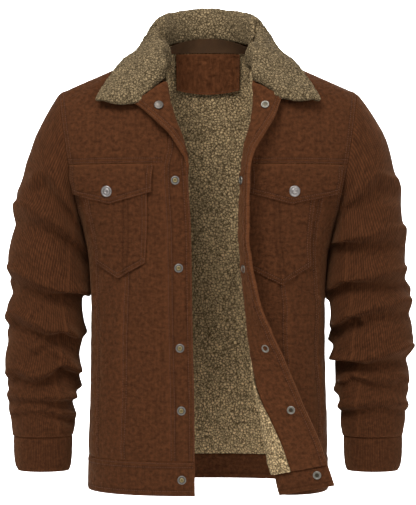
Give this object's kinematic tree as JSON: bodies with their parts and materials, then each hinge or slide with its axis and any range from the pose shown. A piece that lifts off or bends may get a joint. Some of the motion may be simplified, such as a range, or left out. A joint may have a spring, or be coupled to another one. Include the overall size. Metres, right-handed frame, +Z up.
{
  "type": "sherpa lined jacket",
  "caption": "Corduroy jacket with a sherpa collar and lining, worn open with one front turned out, chest pockets and snap fastenings.",
  "frame": {"origin": "the middle of the wearer's shoulders, level with the neck ends of the shoulder seams, where the jacket is held up", "axes": "+Z up the wearer's back, -Y out of the front, +X to the wearer's left"},
  "size_m": [0.6483, 0.2942, 0.7798],
  "materials": {
    "corduroy": "fine brown corduroy, soft and slightly napped",
    "corduroy_wide": "brown corduroy with wider wales round the sleeve",
    "facing": "brown corduroy facing, a little lighter",
    "sherpa": "curly beige pile lining",
    "sherpa_collar": "curly beige pile collar",
    "tape": "dark olive brown woven tape",
    "snap_stud": "worn brass post in a grey ring",
    "snap_socket": "dull grey spring ring",
    "snap_cap": "dull grey cap",
    "button": "silver grey tack button"
  },
  "bodies": {
    "root": {"placket_right": "corduroy", "placket_left": "corduroy", "front_panel_right": "corduroy", "front_panel_left": "corduroy", "front_middle_right": "corduroy", "front_middle_left": "corduroy", "front_side_right": "corduroy", "front_side_left": "corduroy", "front_yoke_right": "corduroy", "front_yoke_left": "corduroy", "facing_right": "facing", "facing_left": "facing", "lining_front_right": "sherpa", "lining_front_left": "sherpa", "waistband_right": "corduroy", "waistband_left": "corduroy", "pocket_right": "corduroy", "pocket_left": "corduroy", "flap_right": "corduroy", "flap_left": "corduroy", "sleeve_top_right": "corduroy_wide", "sleeve_top_left": "corduroy_wide", "sleeve_under_right": "corduroy_wide", "sleeve_under_left": "corduroy_wide", "cuff_right": "corduroy_wide", "cuff_left": "corduroy_wide", "back_panel": "corduroy", "lining_back": "sherpa", "waistband_back": "corduroy", "neck_tape": "tape", "neck_patch": "corduroy", "collar": "sherpa_collar", "stud_1": "snap_stud", "stud_2": "snap_stud", "stud_3": "snap_stud", "stud_4": "snap_stud", "stud_5": "snap_stud", "stud_6": "snap_stud", "socket_1": "snap_socket", "socket_2": "snap_socket", "socket_3": "snap_socket", "socket_4": "snap_socket", "socket_5": "snap_socket", "socket_6": "snap_socket", "cap_1": "snap_cap", "cap_2": "snap_cap", "cap_3": "snap_cap", "cap_4": "snap_cap", "cap_5": "snap_cap", "cap_6": "snap_cap", "stud_back_1": "snap_cap", "button_right": "button", "button_left": "button"}
  },
  "joints": []
}
